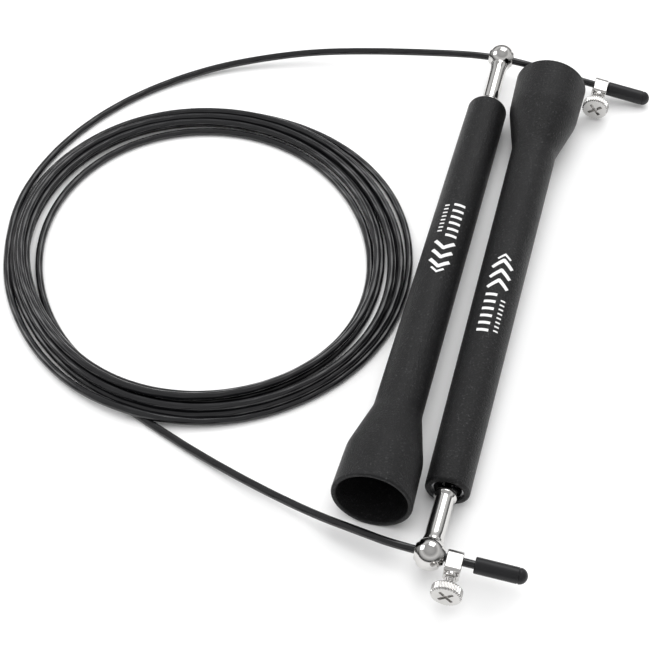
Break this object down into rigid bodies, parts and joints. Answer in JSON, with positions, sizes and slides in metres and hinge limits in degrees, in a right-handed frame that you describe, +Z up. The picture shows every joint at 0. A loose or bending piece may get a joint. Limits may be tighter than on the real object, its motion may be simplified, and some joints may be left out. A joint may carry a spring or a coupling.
{
  "type": "jump rope",
  "caption": "Speed jump rope: flared hollow handles on ball-bearing swivels with ball-foot stems, eyes with spools, coiled coated cable, screw clamps and end caps.",
  "frame": {"origin": "centre of the two handles' box, on the surface that they lie on", "axes": "+Z up; +Y along the handles, towards the narrow end of handle a; +X from handle a towards handle b and the cable's capped ends; the coil lies on the -X side"},
  "size_m": [0.2026, 0.2287, 0.0246],
  "materials": {
    "grip_plastic": "fine spark-eroded grain, satin black",
    "bearing_steel": "ground bearing steel",
    "socket_nylon": "smooth black nylon",
    "polished_chrome": "bright nickel-chrome plate",
    "cable_coating": "glossy black PVC over a twisted steel wire",
    "cap_vinyl": "satin black vinyl"
  },
  "bodies": {
    "cable": {"cable_coil": "cable_coating", "cable_end_a": "cable_coating", "cable_end_b": "cable_coating", "end_cap_a": "cap_vinyl", "end_cap_b": "cap_vinyl", "eye_spool_a": "polished_chrome", "eye_spool_b": "polished_chrome"},
    "stem_a": {"swivel_stem_a": "polished_chrome", "lock_nut_a": "polished_chrome"},
    "cup_a": {"swivel_cup_a": "socket_nylon", "bearing_inner_race_a": "bearing_steel", "washer_a": "bearing_steel", "axle_screw_a": "bearing_steel"},
    "balls_a": {"bearing_balls_a": "bearing_steel"},
    "handle_a": {"grip_a": "grip_plastic", "bearing_outer_race_a": "bearing_steel", "spacer_sleeve_a": "socket_nylon", "retaining_ring_a": "bearing_steel"},
    "clamp_a": {"cable_clamp_a": "polished_chrome"},
    "thumb_a": {"thumbscrew_a": "polished_chrome"},
    "stem_b": {"swivel_stem_b": "polished_chrome", "lock_nut_b": "polished_chrome"},
    "cup_b": {"swivel_cup_b": "socket_nylon", "bearing_inner_race_b": "bearing_steel", "washer_b": "bearing_steel", "axle_screw_b": "bearing_steel"},
    "balls_b": {"bearing_balls_b": "bearing_steel"},
    "handle_b": {"grip_b": "grip_plastic", "bearing_outer_race_b": "bearing_steel", "spacer_sleeve_b": "socket_nylon", "retaining_ring_b": "bearing_steel"},
    "clamp_b": {"cable_clamp_b": "polished_chrome"},
    "thumb_b": {"thumbscrew_b": "polished_chrome"}
  },
  "joints": [
    {"name": "eye_turn_a", "type": "hinge", "parent": "cable", "child": "stem_a", "pos_m": [-0.01005, 0.10565, 0.0102], "axis": [-1, 0, 0], "range_deg": [0, 100]},
    {"name": "ball_tilt_a", "type": "hinge", "parent": "stem_a", "child": "cup_a", "pos_m": [-0.01005, 0.07582, 0.00702], "axis": [-1, 0, 0], "range_deg": [-18.88, 3.12]},
    {"name": "grip_spin_a", "type": "hinge", "parent": "cup_a", "child": "handle_a", "pos_m": [-0.01005, 0.07082, 0.00717], "axis": [0, -0.9995, 0.0312], "continuous": true},
    {"name": "ball_roll_a", "type": "hinge", "parent": "cup_a", "child": "balls_a", "pos_m": [-0.01005, 0.06882, 0.00724], "axis": [0, -0.9995, 0.0312], "continuous": true},
    {"name": "clamp_slide_a", "type": "slide", "parent": "cable", "child": "clamp_a", "axis": [0.9907, 0, -0.1357], "range_m": [-0.0006, 0.0002]},
    {"name": "thumb_turn_a", "type": "hinge", "parent": "clamp_a", "child": "thumb_a", "pos_m": [0.0266, 0.105, 0.0055], "axis": [0, -1, 0], "range_deg": [0, 720]},
    {"name": "eye_turn_b", "type": "hinge", "parent": "cable", "child": "stem_b", "pos_m": [0.01005, -0.10565, 0.0102], "axis": [1, 0, 0], "range_deg": [0, 100]},
    {"name": "ball_tilt_b", "type": "hinge", "parent": "stem_b", "child": "cup_b", "pos_m": [0.01005, -0.07582, 0.00702], "axis": [1, 0, 0], "range_deg": [-18.88, 3.12]},
    {"name": "grip_spin_b", "type": "hinge", "parent": "cup_b", "child": "handle_b", "pos_m": [0.01005, -0.07082, 0.00717], "axis": [0, 0.9995, 0.0312], "continuous": true},
    {"name": "ball_roll_b", "type": "hinge", "parent": "cup_b", "child": "balls_b", "pos_m": [0.01005, -0.06882, 0.00724], "axis": [0, 0.9995, 0.0312], "continuous": true},
    {"name": "clamp_slide_b", "type": "slide", "parent": "cable", "child": "clamp_b", "axis": [0.999, 0, -0.0436], "range_m": [0, 0.003]},
    {"name": "thumb_turn_b", "type": "hinge", "parent": "clamp_b", "child": "thumb_b", "pos_m": [0.01734, -0.10565, 0.00988], "axis": [0, -1, 0], "range_deg": [0, 720]}
  ],
  "couplings": [
    {"joint": "ball_roll_a", "follows": "grip_spin_a", "ratio": 0.6114},
    {"joint": "ball_roll_b", "follows": "grip_spin_b", "ratio": 0.6114}
  ]
}
